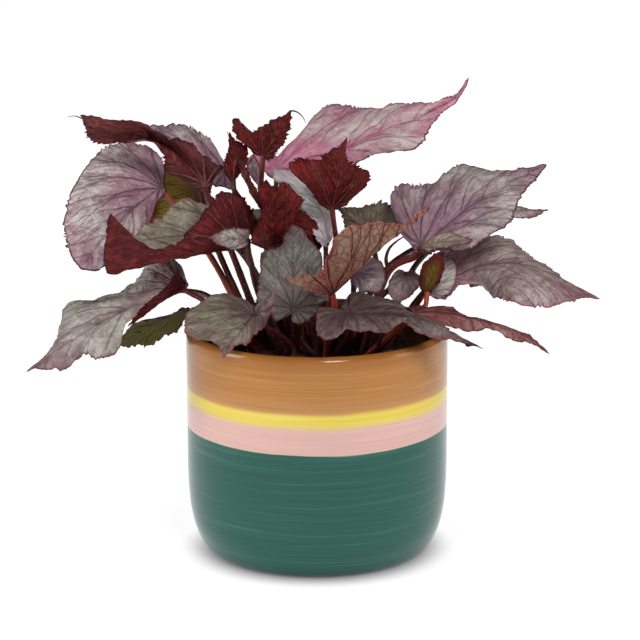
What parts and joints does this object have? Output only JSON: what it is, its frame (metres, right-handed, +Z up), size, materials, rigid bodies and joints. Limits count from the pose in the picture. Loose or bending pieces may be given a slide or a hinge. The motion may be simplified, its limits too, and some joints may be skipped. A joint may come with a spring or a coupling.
{
  "type": "potted begonia",
  "caption": "Leafy begonia with pointed silver-pink leaves, dark red underneath, growing in a round glazed pot with painted bands.",
  "frame": {"origin": "centre of the flat foot that the pot stands on", "axes": "+Z up along the pot's axis; +X to the right and -Y towards the viewer in the picture"},
  "size_m": [0.3204, 0.238, 0.2684],
  "materials": {
    "glaze": "glossy hand-painted glaze in ochre, yellow, pink and green bands",
    "soil": "dark crumbly potting soil",
    "stalk": "hairy red leaf stalks and rootstock",
    "blade_silver": "silver-pink leaf blade, dark red underneath",
    "blade_red": "leaf blade turned to show its dark red underside",
    "blade_olive": "olive to tan leaf blade, seen from below"
  },
  "bodies": {
    "root": {"pot": "glaze", "soil": "soil", "leaf_left_round": "blade_silver", "leaf_left_folded": "blade_red", "leaf_left_small_silver": "blade_silver", "leaf_upper_left_red": "blade_red", "leaf_upper_left_pink": "blade_silver", "leaf_left_olive": "blade_olive", "leaf_left_long": "blade_silver", "leaf_left_low_green": "blade_olive", "leaf_front_left": "blade_silver", "leaf_centre_green": "blade_silver", "leaf_centre_tan": "blade_olive", "leaf_right_upper": "blade_silver", "leaf_right_rolled_red": "blade_olive", "leaf_right_middle": "blade_silver", "leaf_right_back": "blade_silver", "leaf_right_small_red": "blade_red", "leaf_right_low_narrow": "blade_red", "leaf_front_right": "blade_silver", "leaf_middle_purple": "blade_silver", "leaf_right_inner": "blade_silver", "leaf_centre_red": "blade_red", "leaf_centre_diagonal": "blade_silver", "leaf_top_pink": "blade_silver", "leaf_top_red": "blade_red", "leaf_top_small_red": "blade_red", "leaf_top_left_small_red": "blade_red", "leaf_back_left": "blade_silver", "leaf_back_middle": "blade_silver", "leaf_back_right": "blade_silver", "leaf_low_back_left": "blade_silver", "leaf_low_back_middle": "blade_silver", "leaf_low_back_right": "blade_silver", "rootstock_and_stalks": "stalk"}
  },
  "joints": []
}
